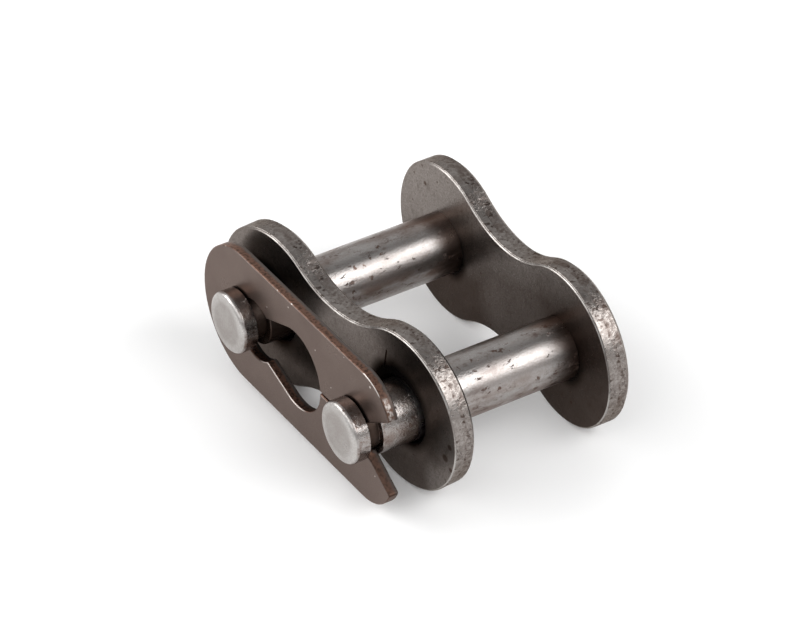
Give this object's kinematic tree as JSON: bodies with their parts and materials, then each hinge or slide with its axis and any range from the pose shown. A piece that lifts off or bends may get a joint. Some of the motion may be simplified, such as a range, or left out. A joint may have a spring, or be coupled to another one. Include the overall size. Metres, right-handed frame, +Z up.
{
  "type": "chain connecting link",
  "caption": "Roller chain connecting link: pins fixed in a waisted rear plate, a loose cover plate on their free ends, and a flat spring clip snapped into the pins' grooves.",
  "frame": {"origin": "midway between the pins, at half the pins' length, on the plane that the link plates' round lobes stand on", "axes": "+X along the chain from the clip's closed end to its open end, +Y along the pins from their free ends to the rear plate, +Z up"},
  "size_m": [0.0231, 0.0176, 0.0104],
  "materials": {
    "plate_steel": "dark hardened steel, mottled and pitted at the edges",
    "pin_steel": "ground and polished, with brown rust specks",
    "clip_steel": "bronze-brown tempered spring steel"
  },
  "bodies": {
    "pin_link": {"rear_plate": "plate_steel", "closed_end_pin": "pin_steel", "open_end_pin": "pin_steel"},
    "cover_plate": {"cover_plate": "plate_steel"},
    "spring_clip": {"spring_clip": "clip_steel"}
  },
  "joints": [
    {"name": "cover_plate_slide", "type": "slide", "parent": "pin_link", "child": "cover_plate", "axis": [0, 1, 0], "range_m": [-0.0009, 0.0091]},
    {"name": "spring_clip_release", "type": "slide", "parent": "pin_link", "child": "spring_clip", "axis": [-1, 0, 0], "range_m": [0, 0.0061], "deforming": ["spring_clip"]}
  ]
}
